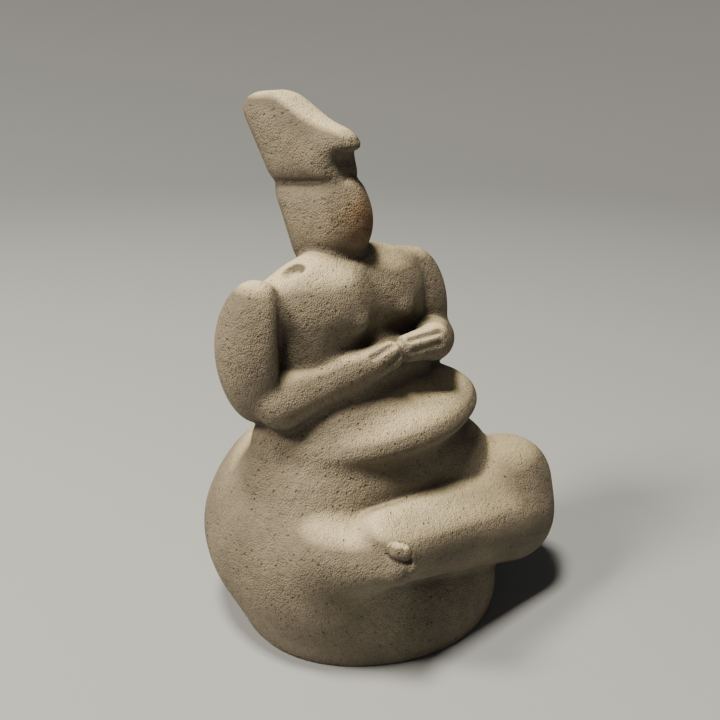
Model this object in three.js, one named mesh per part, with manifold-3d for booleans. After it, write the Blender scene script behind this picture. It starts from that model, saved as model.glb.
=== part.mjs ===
// Seated figurine carved from one piece of buff stone: a heavy seated body with
// folded arms, a belly fold, crossed legs and a small leaning head.
// Units are millimetres, +Z is up, the figure faces -Y and its left side is +X.
// The origin is the middle of the flat underside.

import * as THREE from 'three';
import { mergeVertices } from 'three/addons/utils/BufferGeometryUtils.js';
import Module from 'manifold-3d';

// Driving dimensions, in millimetres.
const HEIGHT = 144;
const HIP_WIDTH = 87;
const HIP_DEPTH = 73;
const SHOULDER_WIDTH = 81.5;
const ARM_WIDTH = 21;
const CHEST_WIDTH = 55.5;
const FOLD_WIDTH = 67.5;
const KNEE_WIDTH = 34.5;
const NECK_WIDTH = 17;
const HEAD_WIDTH = 16;
const NOSE_WIDTH = 10.5;
const GROOVE_WIDTH = 1.2;
const TOE_WIDTH = 4.4;

const STONE_COLOUR = 0xb8a888;
const SKIN_START = 0.5;
const SKIN_TOLERANCE = 0.005;

// The pose is drawn in units of its own, with the crown 99.3 of them above the ground,
// so it keeps its proportions at any height.
const UNIT = HEIGHT / 99.3;
const hip = HIP_WIDTH / 2 / UNIT;
const hipDeep = HIP_DEPTH / 2 / UNIT;
const shoulder = SHOULDER_WIDTH / 2 / UNIT;
const arm = ARM_WIDTH / 2 / UNIT;
const chest = CHEST_WIDTH / 2 / UNIT;
const fold = FOLD_WIDTH / 2 / UNIT;
const knee = KNEE_WIDTH / 2 / UNIT;
const armAxis = shoulder - arm;
const neckHalf = NECK_WIDTH / 2 / UNIT;
const headHalf = HEAD_WIDTH / 2 / UNIT;
const noseHalf = NOSE_WIDTH / 2 / UNIT;
const groove = GROOVE_WIDTH / 2 / UNIT;
const toe = TOE_WIDTH / 2 / UNIT;

const { abs, max, min, sqrt, sin, cos, hypot, PI } = Math;
const radians = degrees => degrees * PI / 180;

// A form is a function of a place (x, y, z): negative inside the stone, zero on its
// surface and about the distance to it outside.

// Smooth minimum and maximum: the two forms run together within the given reach.
function blend(a, b, reach) {
  const near = max(reach - abs(a - b), 0) / reach;
  return min(a, b) - near * near * reach / 4;
}

function trim(a, b, reach) {
  return -blend(-a, -b, reach);
}

// Turns a place about the form's centre: the top leans back (+Y) and to the side (+X).
function leaning(centre, back, side, inner) {
  const cb = cos(radians(back));
  const sb = sin(radians(back));
  const cs = cos(radians(side));
  const ss = sin(radians(side));
  return (px, py, pz) => {
    const x = px - centre[0];
    const y = cb * (py - centre[1]) - sb * (pz - centre[2]);
    const z = sb * (py - centre[1]) + cb * (pz - centre[2]);
    return inner(cs * x - ss * z, y, ss * x + cs * z);
  };
}

// Ellipsoid.
function ball(centre, [rx, ry, rz], back = 0, side = 0) {
  return leaning(centre, back, side, (x, y, z) => {
    const share = hypot(x / rx, y / ry, z / rz);
    const slope = hypot(x / (rx * rx), y / (ry * ry), z / (rz * rz));
    return share * (share - 1) / max(slope, 1e-9);
  });
}

// Box with every edge rounded.
function block(centre, half, rounding, back = 0, side = 0) {
  return leaning(centre, back, side, (x, y, z) => {
    const qx = abs(x) - half[0] + rounding;
    const qy = abs(y) - half[1] + rounding;
    const qz = abs(z) - half[2] + rounding;
    return hypot(max(qx, 0), max(qy, 0), max(qz, 0)) + min(max(qx, qy, qz), 0) - rounding;
  });
}

// All the space behind a flat face: how far a place lies beyond it, along the way it faces.
function behind([x, y, z], reach) {
  return (px, py, pz) => px * x + py * y + pz * z - reach;
}

// What two forms share.
function cutBy(form, other, reach) {
  return (x, y, z) => trim(form(x, y, z), other(x, y, z), reach);
}

// Round limb that tapers from one end to the other.
function limb(from, to, fromRadius, toRadius) {
  const run = to.map((value, i) => value - from[i]);
  const square = run[0] ** 2 + run[1] ** 2 + run[2] ** 2;
  return (px, py, pz) => {
    const x = px - from[0];
    const y = py - from[1];
    const z = pz - from[2];
    const share = min(max((x * run[0] + y * run[1] + z * run[2]) / square, 0), 1);
    const gap = hypot(x - share * run[0], y - share * run[1], z - share * run[2]);
    return gap - fromRadius - (toRadius - fromRadius) * share;
  };
}

// Upright slab with a side outline of (y, z) corners, listed anticlockwise as seen from
// the figure's left; corners are softened by one reach, the two faces' edges by another.
function slab(outline, halfWidth, cornerReach, edgeReach) {
  const sides = outline.map(([y, z], i) => {
    const [nextY, nextZ] = outline[(i + 1) % outline.length];
    const length = hypot(nextY - y, nextZ - z);
    return { y, z, ny: (nextZ - z) / length, nz: -(nextY - y) / length };
  });
  return (px, py, pz) => {
    const distances = sides.map(side => (py - side.y) * side.ny + (pz - side.z) * side.nz);
    const profile = distances.reduce((a, b) => trim(a, b, cornerReach));
    return trim(profile, abs(px) - halfWidth, edgeReach);
  };
}

// Joins further forms onto the first, each with its own reach.
function join(first, ...rest) {
  return (x, y, z) => {
    let value = first(x, y, z);
    for (const [reach, form] of rest) {
      value = blend(value, form(x, y, z), reach);
    }
    return value;
  };
}

// Broad hips on a slightly narrower base, with the lower belly in front, both thighs'
// upper ends and the right lower leg.
function seatForm() {
  return join(
    ball([0, 7.2, 17.2], [hip, hipDeep, 22.8]),
    [4, ball([0.5, 0, 4], [hip - 3, hipDeep + 0.2, 19.5])],
    [4, ball([-1, 0.8, 31.2], [hip - 6, 16.2, 11.5])],
    [6, ball([-16, -1.8, 15.4], [15, 17.5, 16])],
    [5, limb([-19, 6, 34], [-19.5, 5.2, 39.5], 5, 4.5)],
    [4, ball([13, -5, 27], [14, 12, 10])],
    [5, limb([-23, -11, 22.4], [-19.5, -18, 23.2], 5.6, 4.6)],
  );
}

// Flat chest and back, shoulders that slope up to the neck, the waist, and the stone
// between the chest and the folded hands.
function torsoForm() {
  return join(
    block([0, 6.4, 56], [chest, 9, 13.8], 8.8),
    [3, limb([-18.6, 8.2, 62.9], [17.5, 7, 64], 4.9, 4.9)],
    [5, ball([0, 7.5, 66.6], [11, 6, 5])],
    [5, ball([0, 2.8, 42], [20.3, 12.4, 9.5])],
    [3, limb([-9, -3, 51], [9, -3.2, 51.2], 3.8, 3.8)],
    [4, breastForm(-1)],
    [4, breastForm(1)],
  );
}

// Roll of the belly that stands out above the hips, highest on the figure's left.
function foldForm() {
  return join(
    ball([2.6, 0, 40], [fold, 17.4, 6], 0, -3),
    [4, ball([0, 2.8, 42], [20.3, 12.4, 9.5])],
    [3, ball([-1, 0.8, 31.2], [hip - 6, 16.2, 11.5])],
  );
}

function breastForm(half) {
  return join(
    ball([half * 7, 0.4, 62.4], [4.6, 3.8, 5]),
    [2.4, limb([half * 6.8, -1.6, 61.2], [half * 6.4, -3.5, 60.6], 2, 1.2)],
  );
}

// Upper arm with a flat inner face on the side that the chest meets.
function rightArmForm() {
  const whole = ball([-armAxis, 7.8, 56], [arm, 8, 13.3]);
  return cutBy(whole, behind([0.669, -0.743, 0], arm - armAxis - 2), 1.4);
}

function neckForm() {
  const outline = [
    [4.8, 69.2], [15, 67.5], [22, 83.5], [5, 84.5], [2.5, 78.5], [2.6, 72.5],
  ];
  return join(
    slab(outline, neckHalf, 2.4, 4.8),
    [2, ball([0, 7.8, 77.2], [neckHalf - 0.7, 7.7, 8.3])],
  );
}

// Head leaning back, with a heavy blunt nose and no other features.
function headForm() {
  const skull = [
    [4.6, 84], [21.4, 82], [30, 96.2], [28.4, 99], [20, 99.6], [13.5, 94.6], [6, 89],
  ];
  const nose = [[2.4, 90.2], [12, 88], [17, 96.4], [4.8, 93.2]];
  return join(
    slab(skull, headHalf, 2, 4.8),
    [3.2, slab(nose, noseHalf, 1.6, 3.4)],
  );
}

// The same shape with one vertex at each corner, so that it is closed.
function welded(geometry) {
  geometry.deleteAttribute('normal');
  geometry.deleteAttribute('uv');
  return mergeVertices(geometry, 1e-5);
}

// A sphere's vertices carried straight out from a centre to the surface of a form that
// can be seen all over from that centre.
function skinOf(form, centre, around, down) {
  const sphere = welded(new THREE.SphereGeometry(1, around, down));
  sphere.rotateX(PI / 2);
  const places = sphere.attributes.position;
  const place = new THREE.Vector3();
  const direction = new THREE.Vector3();
  const middle = new THREE.Vector3(...centre);
  for (let i = 0; i < places.count; i += 1) {
    direction.fromBufferAttribute(places, i).normalize();
    let reach = SKIN_START;
    let depth = 1;
    while (depth > SKIN_TOLERANCE) {
      place.copy(middle).addScaledVector(direction, reach);
      depth = -form(place.x, place.y, place.z);
      reach += depth * 0.8;
    }
    places.setXYZ(i, place.x, place.y, place.z);
  }
  return sphere;
}

// Tapered limb as a solid: a sphere drawn apart at its equator, one half at each end.
// An odd number of facets from pole to pole leaves the two rims even.
function drawnApart(from, to, fromRadius, toRadius, around, down) {
  const sphere = welded(new THREE.SphereGeometry(1, around, down));
  const start = new THREE.Vector3(...from);
  const end = new THREE.Vector3(...to);
  const turn = new THREE.Quaternion().setFromUnitVectors(
    new THREE.Vector3(0, 1, 0),
    end.clone().sub(start).normalize(),
  );
  const places = sphere.attributes.position;
  const place = new THREE.Vector3();
  for (let i = 0; i < places.count; i += 1) {
    place.fromBufferAttribute(places, i);
    const atEnd = place.y > 0;
    place.applyQuaternion(turn).multiplyScalar(atEnd ? toRadius : fromRadius);
    place.add(atEnd ? end : start);
    places.setXYZ(i, place.x, place.y, place.z);
  }
  return sphere;
}

// A thin limb's vertices carried on outwards, square to the limb's surface, to a form.
function settled(geometry, form) {
  geometry.computeVertexNormals();
  const places = geometry.attributes.position;
  const normals = geometry.attributes.normal;
  const place = new THREE.Vector3();
  const outward = new THREE.Vector3();
  for (let i = 0; i < places.count; i += 1) {
    place.fromBufferAttribute(places, i);
    outward.fromBufferAttribute(normals, i);
    let depth = 1;
    while (depth > SKIN_TOLERANCE) {
      depth = -form(place.x, place.y, place.z);
      place.addScaledVector(outward, depth * 0.8);
    }
    places.setXYZ(i, place.x, place.y, place.z);
  }
  geometry.deleteAttribute('normal');
  return geometry;
}

const wasm = await Module();
wasm.setup();

// A closed three.js geometry as a solid, scaled to millimetres.
function solidOf(geometry) {
  geometry.scale(UNIT, UNIT, UNIT);
  const mesh = new wasm.Mesh({
    numProp: 3,
    vertProperties: new Float32Array(geometry.attributes.position.array),
    triVerts: new Uint32Array(geometry.index.array),
  });
  return new wasm.Manifold(mesh);
}

function geometryOf(solid) {
  const mesh = solid.getMesh();
  const geometry = new THREE.BufferGeometry();
  geometry.setAttribute('position', new THREE.BufferAttribute(mesh.vertProperties, 3));
  geometry.setIndex(new THREE.BufferAttribute(mesh.triVerts, 1));
  geometry.computeVertexNormals();
  return geometry;
}

// Everything below the level of the underside.
function ground() {
  const box = welded(new THREE.BoxGeometry(4 * hip, 4 * hip, 2 * hip));
  box.translate(0, 0, -hip);
  return box;
}

// Left thigh and knee, which is squarer on top than below.
function leftKneeForm() {
  return join(
    limb([12, -3, 18], [22.9, -14.4, 18.2], knee - 0.7, knee),
    [4, ball([26.8, -16.4, 22.4], [7.4, 7.4, 7.4])],
  );
}

// Left shin: round, with a flat ledge along its upper front.
function leftShinForm() {
  const whole = limb([22, -18, 15.9], [-15.8, -18.4, 24.4], knee - 1.7, 6.6);
  return cutBy(whole, behind([0.108, -0.5, 0.86], 33.9), 1.6);
}

// Thigh and shin of the left leg, which is folded in front of the seat.
function leftLeg() {
  return [
    skinOf(leftKneeForm(), [21, -12, 18.5], 28, 18),
    settled(drawnApart([22, -18, 15.9], [-15.8, -18.4, 24.4], 4, 3, 26, 15), leftShinForm()),
  ];
}

// Right foot, which crosses in front of the left shin, with its big and second toe.
function rightFoot() {
  return [
    drawnApart([-20, -17, 23.4], [-18.6, -22.8, 23.8], 4.6, 3.5, 16, 9),
    drawnApart([-19.5, -24, 27.5], [-18.8, -24.8, 27.2], toe, toe, 9, 7),
    drawnApart([-19.2, -24.8, 24.7], [-18.3, -25.7, 24.3], toe - 0.1, toe - 0.2, 9, 7),
  ];
}

// Upper arms, forearms and hands, folded with the fingertips together.
function arms() {
  const leftArm = ball([armAxis, 6.4, 55.1], [arm, 8, 13.3]);
  const leftWrist = [9, -8.6, 54.3];
  return [
    skinOf(rightArmForm(), [-armAxis, 7.8, 56], 22, 14),
    skinOf(leftArm, [armAxis, 6.4, 55.1], 20, 14),
    drawnApart([-20, 2.5, 47.6], [-2.4, -7.3, 54.1], 5.2, 2.7, 16, 9),
    drawnApart([20.5, 1, 50], leftWrist, 5, 3.4, 16, 9),
    drawnApart(leftWrist, [1.8, -7.9, 54.5], 3.4, 2.6, 14, 9),
  ];
}

// The limbs and blocks that the stone is carved into, each with its facets around and
// from top to bottom. They meet in creases.
function carvedPieces() {
  return [
    skinOf(seatForm(), [0, 2, 20], 54, 28),
    skinOf(torsoForm(), [0, 4, 54], 42, 26),
    skinOf(foldForm(), [2.6, 0, 40], 46, 24),
    skinOf(neckForm(), [0, 9.5, 77], 24, 14),
    skinOf(headForm(), [0, 14, 91], 30, 20),
    ...leftLeg(),
    ...rightFoot(),
    ...arms(),
  ];
}

// Grooves between the fingers, two in each hand.
function grooves() {
  const lines = [
    [[-6.9, -7.5, 54.9], [-2.8, -8.4, 56.5]],
    [[-6.1, -8.8, 52.4], [-2.4, -9.9, 54.6]],
    [[1.2, -9.2, 56.6], [7.6, -10.8, 56.8]],
    [[0.9, -10.3, 54.7], [7.2, -11.7, 55]],
  ];
  return lines.map(([from, to]) => drawnApart(from, to, groove, groove, 6, 5));
}

function figurineGeometry() {
  const joined = carvedPieces()
    .map(piece => solidOf(piece))
    .reduce((whole, piece) => whole.add(piece));
  const carved = [ground(), ...grooves()]
    .map(piece => solidOf(piece))
    .reduce((whole, piece) => whole.subtract(piece), joined);
  return geometryOf(carved);
}

function stoneMaterial() {
  return new THREE.MeshStandardMaterial({
    name: 'stone',
    color: STONE_COLOUR,
    roughness: 0.9,
    metalness: 0,
  });
}

const figurine = new THREE.Mesh(figurineGeometry(), stoneMaterial());
figurine.name = 'figurine';

const group = new THREE.Group();
group.add(figurine);

export default group;
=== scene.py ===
# Seated stone figurine: the worn carved surface, its weathered stone, a pale floor and soft light.
from itertools import compress
from math import cos, radians, sin

import bmesh
import bpy
import numpy as np
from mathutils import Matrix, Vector


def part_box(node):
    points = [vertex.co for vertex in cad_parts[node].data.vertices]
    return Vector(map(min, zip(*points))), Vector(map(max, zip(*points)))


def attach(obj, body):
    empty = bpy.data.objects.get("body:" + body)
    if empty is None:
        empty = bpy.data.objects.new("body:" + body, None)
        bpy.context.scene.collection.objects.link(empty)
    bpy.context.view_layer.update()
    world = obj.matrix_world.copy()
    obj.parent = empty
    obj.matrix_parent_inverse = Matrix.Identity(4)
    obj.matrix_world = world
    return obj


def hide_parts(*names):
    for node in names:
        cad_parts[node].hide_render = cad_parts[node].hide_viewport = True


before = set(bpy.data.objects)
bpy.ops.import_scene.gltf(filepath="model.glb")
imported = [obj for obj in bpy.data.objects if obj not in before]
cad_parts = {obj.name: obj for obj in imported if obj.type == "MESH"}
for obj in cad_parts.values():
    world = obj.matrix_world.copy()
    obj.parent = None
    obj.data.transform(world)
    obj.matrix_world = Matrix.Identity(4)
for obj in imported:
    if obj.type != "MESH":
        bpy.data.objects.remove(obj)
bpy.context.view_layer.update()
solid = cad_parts["figurine"]
lowCorner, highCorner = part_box("figurine")

# The pose is drawn in units of its own, with the crown 99.3 of them above the ground.
crown = 99.3
unit = (highCorner.z - lowCorner.z) / crown  # metres


# A form is a function of many places at once (an array of x, y, z rows): negative inside
# the stone, zero on its surface and about the distance to it outside.

def blend(a, b, reach):
    # the smaller of two distances, rounded off where they are within reach of each other
    near = np.maximum(reach - np.abs(a - b), 0) / reach
    return np.minimum(a, b) - near * near * reach / 4


def trim(a, b, reach):
    # the larger of two distances, rounded off in the same way
    return -blend(-a, -b, reach)


def leaning(places, centre, back, side):
    # places turned about the form's centre: its top leans back (+Y) and to the side (+X)
    x, y, z = (places - np.array(centre)).T
    y, z = cos(radians(back)) * y - sin(radians(back)) * z, sin(radians(back)) * y + cos(radians(back)) * z
    x, z = cos(radians(side)) * x - sin(radians(side)) * z, sin(radians(side)) * x + cos(radians(side)) * z
    return np.stack([x, y, z], 1)


def ball(centre, radii, back=0, side=0):
    # ellipsoid: how far out the place is as a share of the radii, over how fast that share grows
    radii = np.array(radii, float)

    def form(places):
        local = leaning(places, centre, back, side)
        share = np.linalg.norm(local / radii, axis=1)
        slope = np.linalg.norm(local / radii ** 2, axis=1)
        return share * (share - 1) / np.maximum(slope, 1e-9)
    return form


def block(centre, half, rounding, back=0, side=0):
    # box with rounded edges: distance from a smaller box, less the rounding
    def form(places):
        beyond = np.abs(leaning(places, centre, back, side)) - (np.array(half) - rounding)
        outside = np.linalg.norm(np.maximum(beyond, 0), axis=1)
        return outside + np.minimum(beyond.max(1), 0) - rounding
    return form


def behind(facing, reach):
    # all the space behind a flat face: how far a place lies beyond it, along the way it faces
    return lambda places: places @ np.array(facing) - reach


def cutBy(form, other, reach):
    # what both forms share
    return lambda places: trim(form(places), other(places), reach)


def limb(start, end, startRadius, endRadius):
    # distance from the nearest place on a straight line, less a radius that changes along it
    start, end = np.array(start, float), np.array(end, float)

    def form(places):
        run = end - start
        share = np.clip((places - start) @ run / (run @ run), 0, 1)
        gap = np.linalg.norm(places - start - share[:, None] * run, axis=1)
        return gap - startRadius - (endRadius - startRadius) * share
    return form


def slab(outline, halfWidth, cornerReach, edgeReach):
    # upright slab: the farthest of its sides' distances in the (y, z) plane and of its two faces'
    def form(places):
        profile = None
        for (y, z), (nextY, nextZ) in zip(outline, outline[1:] + outline[:1]):
            length = np.hypot(nextY - y, nextZ - z)
            side = ((places[:, 1] - y) * (nextZ - z) - (places[:, 2] - z) * (nextY - y)) / length
            profile = side if profile is None else trim(profile, side, cornerReach)
        return trim(profile, np.abs(places[:, 0]) - halfWidth, edgeReach)
    return form


def join(first, *rest):
    # further forms run into the first, each within its own reach
    def form(places):
        value = first(places)
        for reach, other in rest:
            value = blend(value, other(places), reach)
        return value
    return form


body = {
    "hips": (30, 25.2, 22.8),
    "base": (27, 25.4, 19.5),
    "knee": 11.9,
    "chest": (19.2, 9, 13.8),
    "fold": (23.2, 17.4, 6),
    "arm": (7.2, 8, 13.3),
    "neckHalf": 5.8,
    "headHalf": 5.5,
    "noseHalf": 3.6,
    "toe": 1.5,
}


def seatForm():
    # hips on a slightly narrower base, the lower belly and the right thigh
    return join(
        ball((0, 7.2, 17.2), body["hips"]),
        (4, ball((0.5, 0, 4), body["base"])),
        (4, ball((-1, 0.8, 31.2), (24, 16.2, 11.5))),
        (6, ball((-16, -1.8, 15.4), (15, 17.5, 16))),
        (5, limb((-19, 6, 34), (-19.5, 5.2, 39.5), 5, 4.5)),
        (4, ball((13, -5, 27), (14, 12, 10))),
        (5, limb((-23, -11, 22.4), (-19.5, -18, 23.2), 5.6, 4.6)),
    )


def leftShinForm():
    # round, with a flat ledge along its upper front
    shin = limb((22, -18, 15.9), (-15.8, -18.4, 24.4), 10.2, 6.6)
    ledge = behind((0.108, -0.5, 0.86), 33.9)
    return cutBy(shin, ledge, 1.6)


def leftLegForm():
    # thigh that widens to the knee, the top of the knee, and the shin
    return join(
        limb((12, -3, 18), (22.9, -14.4, 18.2), 11.2, body["knee"]),
        (4, ball((26.8, -16.4, 22.4), (7.4, 7.4, 7.4))),
        (2.4, leftShinForm()),
    )


def rightFootForm():
    # foot over the end of the shin, and two toes that stand out of it
    return join(
        limb((-20, -17, 23.4), (-18.6, -22.8, 23.8), 4.6, 3.5),
        (0.2, limb((-19.5, -24, 27.5), (-18.8, -24.8, 27.2), body["toe"], body["toe"])),
        (0.2, limb((-19.2, -24.8, 24.7), (-18.3, -25.7, 24.3), body["toe"] - 0.1, body["toe"] - 0.2)),
    )


def breastForm(half):
    # low mound with a blunt tip; half is -1 on the figure's right and 1 on its left
    return join(
        ball((half * 7, 0.4, 62.4), (4.6, 3.8, 5)),
        (2.4, limb((half * 6.8, -1.6, 61.2), (half * 6.4, -3.5, 60.6), 2, 1.2)),
    )


def torsoForm():
    # chest block, shoulders, foot of the neck, waist, ribs, breasts and the roll of the belly
    return join(
        block((0, 6.4, 56), body["chest"], 8.8),
        (3, limb((-18.6, 8.2, 62.9), (17.5, 7, 64), 4.9, 4.9)),
        (5, ball((0, 7.5, 66.6), (11, 6, 5))),
        (5, ball((0, 2.8, 42), (20.3, 12.4, 9.5))),
        (3, limb((-9, -3, 51), (9, -3.2, 51.2), 3.8, 3.8)),
        (4, breastForm(-1)),
        (4, breastForm(1)),
        (4, ball((2.6, 0, 40), body["fold"], 0, -3)),
    )


def neckForm():
    # slab with a rounded throat; its outline is seen from the side, as y and z
    outline = [(4.8, 69.2), (15, 67.5), (22, 83.5), (5, 84.5), (2.5, 78.5), (2.6, 72.5)]
    return join(
        slab(outline, body["neckHalf"], 2.4, 4.8),
        (2, ball((0, 7.8, 77.2), (5.1, 7.7, 8.3))),
    )


def headForm():
    # two slabs, the nose narrower than the skull; outlines as y and z
    skull = [(4.6, 84), (21.4, 82), (30, 96.2), (28.4, 99), (20, 99.6), (13.5, 94.6), (6, 89)]
    nose = [(2.4, 90.2), (12, 88), (17, 96.4), (4.8, 93.2)]
    return join(
        slab(skull, body["headHalf"], 2, 4.8),
        (3.2, slab(nose, body["noseHalf"], 1.6, 3.4)),
    )


def armForm():
    # both upper arms, forearms and hands; the right upper arm ends in a flat inner face
    return join(
        cutBy(ball((-21.1, 7.8, 56), body["arm"]), behind((0.669, -0.743, 0), -15.9), 1.4),
        (0.5, ball((20.5, 6.4, 55.1), body["arm"])),
        (1.2, limb((-20, 2.5, 47.6), (-2.4, -7.3, 54.1), 5.2, 2.7)),
        (1.2, limb((20.5, 1, 50), (9, -8.6, 54.3), 5, 3.4)),
        (1, limb((9, -8.6, 54.3), (1.8, -7.9, 54.5), 3.4, 2.6)),
    )


cuts = [  # from, to, radius, reach of the rounded rim
    ((-6.9, -7.5, 54.9), (-2.8, -8.4, 56.5), 0.12, 1.2),  # four grooves between the fingers
    ((-6.1, -8.8, 52.4), (-2.4, -9.9, 54.6), 0.12, 1.2),
    ((1.2, -9.2, 56.6), (7.6, -10.8, 56.8), 0.12, 1.2),
    ((0.9, -10.3, 54.7), (7.2, -11.7, 55), 0.12, 1.2),
    ((-13.6, 6.6, 69.9), (-12.6, 6.3, 70.1), 1.5, 0.9),  # chip on the shoulder
    ((-0.4, 3.7, 85.6), (-0.1, 3.7, 85.6), 0.7, 0.6),  # pit under the chin
]


def stoneForm():
    # all parts run together, less the cuts
    whole = join(
        seatForm(),
        (1.6, leftLegForm()),
        (0.8, rightFootForm()),
        (3, torsoForm()),
        (1.1, armForm()),
        (1.4, neckForm()),
        (0.7, headForm()),
    )
    for start, end, radius, reach in cuts:
        cut = limb(start, end, radius, radius)
        whole = cutBy(whole, lambda places, cut=cut: -cut(places), reach)
    return whole


surface = {
    "voxel": 0.00078,  # metres, the skin's mesh width
    "rounds": 10,  # how often every vertex is moved onto the form
    "evening": 7,  # in how many of these rounds the mesh is evened out first
    "underside": 0.15,  # pose units, below which a vertex stays on the flat underside
    "waviness": 0.12,  # pose units, the hand-worn unevenness
    "wavinessFrom": 4,  # pose units above the ground where the waviness is full
    "details": [((0.5, -9, 54.5), 9.5), ((-18.8, -24, 26), 5)],  # hands and toes: centre, reach
    "reaches": (0.6, 1.2, 3, 6),  # pose units, for the painted shade in the hollows
}


def slopeOf(form, places, value, step=0.02):
    # how fast the form's distance grows along each axis
    return np.stack([(form(places + axis * step) - value) / step for axis in np.eye(3)], 1)


def settle(form, places):
    # each place moves down the slope by its distance, over the slope's own square
    value = form(places)
    slope = slopeOf(form, places, value)
    square = np.maximum((slope ** 2).sum(1), 0.25)
    return places - slope * (value / square)[:, None]


def evenOut(places, edges):
    # each place moves a third of the way to the mean of its neighbours
    total = np.zeros_like(places)
    for axis in range(3):
        total[:, axis] = (np.bincount(edges[:, 0], places[edges[:, 1], axis], len(places))
                          + np.bincount(edges[:, 1], places[edges[:, 0], axis], len(places)))
    count = np.bincount(edges.ravel(), minlength=len(places))
    return places + (total / count[:, None] - places) / 3


def waviness(places):
    # a sum of slow sine waves in three slanting directions
    waves = np.array([[0.31, 0.17, 0.23], [-0.19, 0.37, 0.11], [0.13, -0.29, 0.41], [0.53, 0.41, -0.47]])
    phases = np.array([0.4, 1.9, 3.1, 5.2])
    return np.sin(places @ waves.T + phases).mean(1)


def readMesh(mesh):
    # vertex places in pose units, and the two ends of each edge
    flat = np.empty(len(mesh.vertices) * 3)
    mesh.vertices.foreach_get("co", flat)
    ends = np.empty(len(mesh.edges) * 2, int)
    mesh.edges.foreach_get("vertices", ends)
    return flat.reshape(-1, 3) / unit, ends.reshape(-1, 2)


def evenMesh():
    # a copy of the solid, remeshed into small squares
    skin = solid.copy()
    skin.data = solid.data.copy()
    skin.name = "figurineSkin"
    bpy.context.collection.objects.link(skin)
    remesh = skin.modifiers.new("even", "REMESH")
    remesh.mode = "VOXEL"
    remesh.voxel_size = surface["voxel"]
    bpy.context.view_layer.update()
    mesh = bpy.data.meshes.new_from_object(skin.evaluated_get(bpy.context.evaluated_depsgraph_get()))
    skin.modifiers.clear()
    skin.data = mesh
    return skin


def refine(mesh):
    # edges with both ends within reach of a small detail are halved
    places, edges = readMesh(mesh)
    near = np.zeros(len(places), bool)
    for centre, reach in surface["details"]:
        near |= np.linalg.norm(places - np.array(centre), axis=1) < reach
    chosen = near[edges].all(1)
    shape = bmesh.new()
    shape.from_mesh(mesh)
    halved = list(compress(shape.edges, chosen.tolist()))
    bmesh.ops.subdivide_edges(shape, edges=halved, cuts=1, use_grid_fill=True)
    shape.to_mesh(mesh)
    shape.free()


def onTheForm(form, places, edges):
    # every vertex moved onto the form in several rounds, above the ground
    standing = places[:, 2] < surface["underside"]
    for turn in range(surface["rounds"]):
        moved = settle(form, evenOut(places, edges) if turn < surface["evening"] else places)
        moved[standing] = places[standing]
        moved[:, 2] = np.maximum(moved[:, 2], 0)
        places = moved
    return places


def hollowness(form, places, outward):
    # how much stone stands in front of each place, as a mean over several reaches
    hollow = np.zeros(len(places))
    for reach in surface["reaches"]:
        hollow += np.clip(1 - form(places + outward * reach) / reach, 0, 1) / len(surface["reaches"])
    return hollow


def carvedSkin():
    # the even mesh moved onto the smooth form, then lifted a little by the waviness
    skin = evenMesh()
    mesh = skin.data
    refine(mesh)
    places, edges = readMesh(mesh)
    form = stoneForm()
    places = onTheForm(form, places, edges)
    slope = slopeOf(form, places, form(places))
    outward = slope / np.linalg.norm(slope, axis=1, keepdims=True)
    height = np.clip(places[:, 2] / surface["wavinessFrom"], 0, 1)
    lift = height * surface["waviness"] * waviness(places)
    places = places + outward * lift[:, None]
    mesh.vertices.foreach_set("co", (places * unit).ravel())
    attribute = mesh.attributes.new("hollow", "FLOAT", "POINT")
    attribute.data.foreach_set("value", hollowness(form, places, outward))
    mesh.polygons.foreach_set("use_smooth", np.ones(len(mesh.polygons), bool))
    mesh.update()
    return skin


stone = {
    "light": (0.240, 0.203, 0.150, 1),
    "middle": (0.165, 0.139, 0.104, 1),
    "cloudScale": 60,  # clouds of light and middle stone, to the metre
    "dark": (0.085, 0.069, 0.052, 1),
    "mottleShare": 0.2,  # how strongly mottling and speckles darken the stone
    "speckleShare": 0.4,
    # painted highlight: a cream colour laid on faces turned up, standing in for the light from above
    "paintedHighlight": (0.80, 0.68, 0.44, 1),
    "paintedHighlightShare": 0.8,
    "paintedHighlightFacing": (0.66, 0.92),  # how far up a face looks where the painted highlight begins, and where it is full
    # painted shade: a near-black colour laid into creases and hollows, where little light reaches
    "paintedShade": (0.026, 0.022, 0.019, 1),
    "paintedShadeShare": 0.75,
    "paintedShadeHollow": (0.14, 0.6),  # how hollow a place is where the painted shade begins, and where it is full
    "stain": (0.12, 0.058, 0.024, 1),
    "stainPlace": (0.001, 0, 0.112),  # metres, on the front of the neck
    "stainReach": 0.012,
    "roughness": 0.9,
    "shine": 0.2,
    "bumpStrength": 0.8,
    "grainScale": 2500,  # grains to the metre
    "grainDepth": 0.0005,
    "mottleScale": 420,
    "mottleDepth": 0.0008,
    "pitScale": 900,
    "pitDepth": 0.0005,
    "pitChance": (0.72, 0.95),  # about one cell in six holds a pit
    "pitShare": 0.2,
}


def node(tree, kind, **inputs):
    # a new shader node with its sockets set
    made = tree.nodes.new(kind)
    for name, value in inputs.items():
        made.inputs[name.replace("_", " ")].default_value = value
    return made


def feed(tree, socket, value):
    # a socket gets a link, or a fixed value
    if isinstance(value, bpy.types.NodeSocket):
        tree.links.new(value, socket)
    else:
        socket.default_value = value


def mixColour(tree, share, a, b):
    # colour a with the share of colour b in it
    mix = tree.nodes.new("ShaderNodeMix")
    mix.data_type = "RGBA"
    for socket, value in ((mix.inputs[0], share), (mix.inputs[6], a), (mix.inputs[7], b)):
        feed(tree, socket, value)
    return mix.outputs[2]


def maths(tree, operation, a, b):
    # one sum or product of two numbers
    made = tree.nodes.new("ShaderNodeMath")
    made.operation = operation
    for socket, value in zip(made.inputs, (a, b)):
        feed(tree, socket, value)
    return made.outputs[0]


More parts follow.
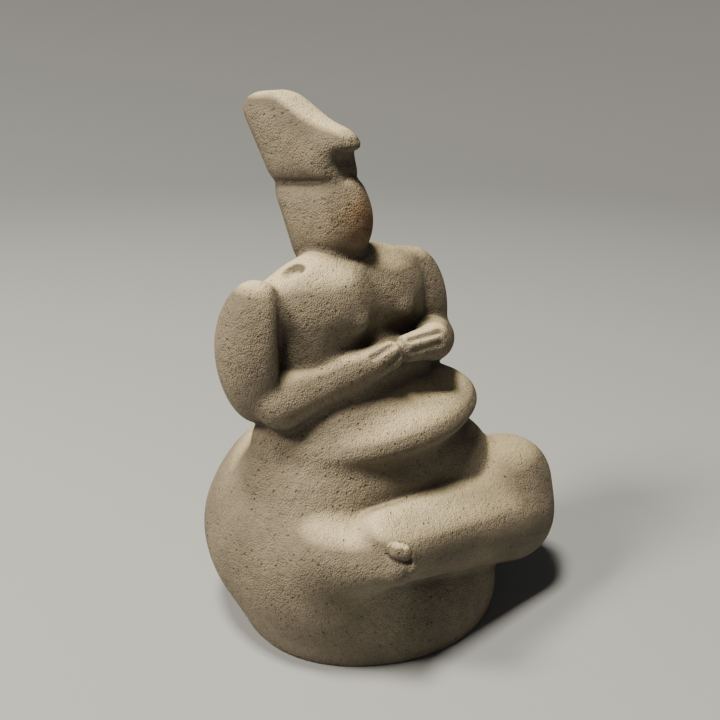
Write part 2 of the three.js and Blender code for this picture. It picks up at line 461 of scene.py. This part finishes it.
def mapRange(tree, value, low, high, toLow=0.0, toHigh=1.0):
    # the value's way from low to high, carried over to toLow and toHigh and held between them
    made = node(tree, "ShaderNodeMapRange", From_Min=low, From_Max=high, To_Min=toLow, To_Max=toHigh)
    tree.links.new(value, made.inputs["Value"])
    return made.outputs["Result"]


def noise(tree, vector, scale, detail, rough=0.5):
    # cloudy pattern about 0.5: each of its details is half the size and rough times the strength of the last
    made = node(tree, "ShaderNodeTexNoise", Scale=scale, Detail=detail, Roughness=rough)
    tree.links.new(vector, made.inputs["Vector"])
    return made.outputs["Fac"]


def cells(tree, vector, scale):
    # random cells: how far each place is from its cell's middle, and the cell's own random colour
    made = node(tree, "ShaderNodeTexVoronoi", Scale=scale, Randomness=1.0)
    tree.links.new(vector, made.inputs["Vector"])
    return made.outputs["Distance"], made.outputs["Color"]


def grainPattern(tree, grained):
    # half rounded grains, highest in the middle of each cell, and half fine powder
    distance, _ = cells(tree, grained, stone["grainScale"])
    rounded = mapRange(tree, distance, 0.75, 0.1)
    powder = noise(tree, grained, stone["grainScale"] * 1.2, 3, 0.65)
    return maths(tree, "ADD", maths(tree, "MULTIPLY", rounded, 0.5), maths(tree, "MULTIPLY", powder, 0.5))


def pitPattern(tree, grained):
    # 1 in the middle of some cells, 0 elsewhere
    distance, random = cells(tree, grained, stone["pitScale"])
    chance = tree.nodes.new("ShaderNodeSeparateColor")
    tree.links.new(random, chance.inputs[0])
    chosen = mapRange(tree, chance.outputs[0], *stone["pitChance"])
    return maths(tree, "MULTIPLY", mapRange(tree, distance, 0.42, 0.12), chosen)


def stainPattern(tree, place, mottled):
    # full within 0.3 of the stain's reach and gone beyond it, patchy with the mottling
    away = tree.nodes.new("ShaderNodeVectorMath")
    away.operation = "DISTANCE"
    tree.links.new(place, away.inputs[0])
    away.inputs[1].default_value = stone["stainPlace"]
    near = mapRange(tree, away.outputs["Value"], stone["stainReach"], stone["stainReach"] * 0.3)
    return maths(tree, "MULTIPLY", near, mapRange(tree, mottled, 0.35, 0.6, 0.4, 0.9))


def paintedHighlightMask(tree, coordinates):
    # painted highlight, lighter where faces turn up to the light: grows with the height of the surface's own
    # normal
    normal = tree.nodes.new("ShaderNodeSeparateXYZ")
    tree.links.new(coordinates.outputs["Normal"], normal.inputs[0])
    return mapRange(tree, normal.outputs["Z"], *stone["paintedHighlightFacing"], 0, stone["paintedHighlightShare"])


def paintedShadeShare(tree):
    # painted shade, darker where less light reaches: grows with the hollow attribute
    hollow = tree.nodes.new("ShaderNodeAttribute")
    hollow.attribute_name = "hollow"
    return mapRange(tree, hollow.outputs["Fac"], *stone["paintedShadeHollow"], 0, stone["paintedShadeShare"])


def stoneColour(tree, coordinates, mottled, grain, pits):
    # one colour laid over the next: clouds, mottling, the painted highlight on upward faces, speckles, the
    # painted shade in creases and hollows, the stain, pits darkened with that painted shade
    place = coordinates.outputs["Object"]
    clouds = mapRange(tree, noise(tree, place, stone["cloudScale"], 3), 0.35, 0.65)
    mottles = mapRange(tree, mottled, 0.45, 0.65, 0, stone["mottleShare"])
    speckles = mapRange(tree, grain, 0.60, 0.35, 0, stone["speckleShare"])
    colour = mixColour(tree, clouds, stone["middle"], stone["light"])
    colour = mixColour(tree, mottles, colour, stone["dark"])
    colour = mixColour(tree, paintedHighlightMask(tree, coordinates), colour, stone["paintedHighlight"])
    colour = mixColour(tree, speckles, colour, stone["dark"])
    colour = mixColour(tree, paintedShadeShare(tree), colour, stone["paintedShade"])
    colour = mixColour(tree, stainPattern(tree, place, mottled), colour, stone["stain"])
    # pits darkened with the same painted shade, as shade in each small pit
    return mixColour(tree, maths(tree, "MULTIPLY", pits, stone["pitShare"]), colour, stone["paintedShade"])


def bumped(tree, height, depth, under=None, inward=False):
    # the pattern raised by the depth, or sunk where it goes inward, on top of the bumps under it
    bump = node(tree, "ShaderNodeBump", Strength=stone["bumpStrength"], Distance=depth)
    bump.invert = inward
    tree.links.new(height, bump.inputs["Height"])
    if under:
        tree.links.new(under, bump.inputs["Normal"])
    return bump.outputs["Normal"]


def stoneMaterial():
    # dull stone: the colours above, with grains, mottling and pits as bumps
    material = bpy.data.materials.new("weatheredStone")
    material.use_nodes = True
    tree = material.node_tree
    shader = tree.nodes["Principled BSDF"]
    coordinates = tree.nodes.new("ShaderNodeTexCoord")
    place = coordinates.outputs["Object"]
    slant = node(tree, "ShaderNodeMapping", Rotation=(0.5, 0.6, 0.3), Scale=(1.0, 1.0, 0.8))
    tree.links.new(place, slant.inputs["Vector"])
    mottled = noise(tree, place, stone["mottleScale"], 4, 0.6)
    grain = grainPattern(tree, slant.outputs["Vector"])
    pits = pitPattern(tree, slant.outputs["Vector"])
    tree.links.new(stoneColour(tree, coordinates, mottled, grain, pits), shader.inputs["Base Color"])
    shader.inputs["Roughness"].default_value = stone["roughness"]
    shader.inputs["Specular IOR Level"].default_value = stone["shine"]
    bumps = bumped(tree, grain, stone["grainDepth"])
    bumps = bumped(tree, mottled, stone["mottleDepth"], bumps)
    bumps = bumped(tree, pits, stone["pitDepth"], bumps, inward=True)
    tree.links.new(bumps, shader.inputs["Normal"])
    return material


photo = {
    "azimuth": -48,  # degrees round from the figure's front
    "elevation": 20,
    "distance": 0.268,  # metres
    "target": (0, 0.003, 0.073),
    "lens": 48,
}


def addCamera():
    # back points from the target to the camera: round by the azimuth, then up by the elevation
    a, e = radians(photo["azimuth"]), radians(photo["elevation"])
    back = Vector((sin(a) * cos(e), -cos(a) * cos(e), sin(e)))
    data = bpy.data.cameras.new("camera")
    data.lens = photo["lens"]
    data.sensor_width = 36
    data.clip_start = 0.01
    camera = bpy.data.objects.new("camera", data)
    camera.location = Vector(photo["target"]) + back * photo["distance"]
    camera.rotation_euler = (-back).to_track_quat("-Z", "Y").to_euler()
    bpy.context.collection.objects.link(camera)
    bpy.context.scene.camera = camera


lamps = {  # place and width in metres, power in watts, colour
    "key": ((-0.62, 0.33, 0.80), 0.22, 17, (1, 0.91, 0.72)),
    "top": ((-0.25, 0.02, 1.15), 0.22, 22, (1, 0.92, 0.74)),
    "fill": ((-0.9, -0.8, 0.4), 0.9, 0.3, (0.80, 0.90, 1)),
}


def addLamps():
    # each lamp looks at a place inside the figure
    aim = Vector((0, 0, 0.06))
    for name, (place, size, power, colour) in lamps.items():
        data = bpy.data.lights.new(name, "AREA")
        data.size = size
        data.energy = power
        data.color = colour
        lamp = bpy.data.objects.new(name, data)
        lamp.location = place
        lamp.rotation_euler = (aim - Vector(place)).to_track_quat("-Z", "Y").to_euler()
        bpy.context.collection.objects.link(lamp)


stage = {
    "flat": 0.7,  # metres from the middle to where the floor begins to rise
    "radius": 2.4,
    "wall": 2.2,
    "floorColour": (0.27, 0.285, 0.31, 1),
    "floorRoughness": 0.8,
    "skyColour": (0.8, 0.82, 0.85, 1),
    "skyStrength": 0.03,
}


def floorMaterial():
    material = bpy.data.materials.new("paleFloor")
    material.use_nodes = True
    shader = material.node_tree.nodes["Principled BSDF"]
    shader.inputs["Base Color"].default_value = stage["floorColour"]
    shader.inputs["Roughness"].default_value = stage["floorRoughness"]
    return material


def addWorld():
    # faint even light from everywhere
    world = bpy.data.worlds.new("studio")
    bpy.context.scene.world = world
    world.use_nodes = True
    sky = world.node_tree.nodes["Background"]
    sky.inputs["Color"].default_value = stage["skyColour"]
    sky.inputs["Strength"].default_value = stage["skyStrength"]


def addFloor():
    # a round floor that curves up into a wall: its height grows with the square of the way past the flat part
    around, out = np.meshgrid(np.linspace(0, 2 * np.pi, 97)[:-1], np.linspace(0.01, stage["radius"], 40))
    past = np.maximum(out - stage["flat"], 0)
    height = stage["wall"] * (past / (stage["radius"] - stage["flat"])) ** 2
    places = np.stack([out * np.cos(around), out * np.sin(around), height], -1).reshape(-1, 3)
    rings, steps = around.shape
    index = np.arange(rings * steps).reshape(rings, steps)
    turned = np.roll(index, -1, 1)
    quads = np.stack([index[:-1], turned[:-1], turned[1:], index[1:]], -1).reshape(-1, 4)[:, ::-1]
    mesh = bpy.data.meshes.new("floor")
    mesh.from_pydata(places.tolist(), [], quads.tolist() + [index[0].tolist()])
    mesh.polygons.foreach_set("use_smooth", np.ones(len(mesh.polygons), bool))
    floor = bpy.data.objects.new("floor", mesh)
    bpy.context.collection.objects.link(floor)
    mesh.materials.append(floorMaterial())


addCamera()
addLamps()
addWorld()
addFloor()
print("camera, lights and floor are set")

skin = carvedSkin()
skin.data.materials.clear()
skin.data.materials.append(stoneMaterial())
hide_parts("figurine")
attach(skin, "root")
print("skin:", len(skin.data.vertices), "vertices,", len(skin.data.polygons), "faces")
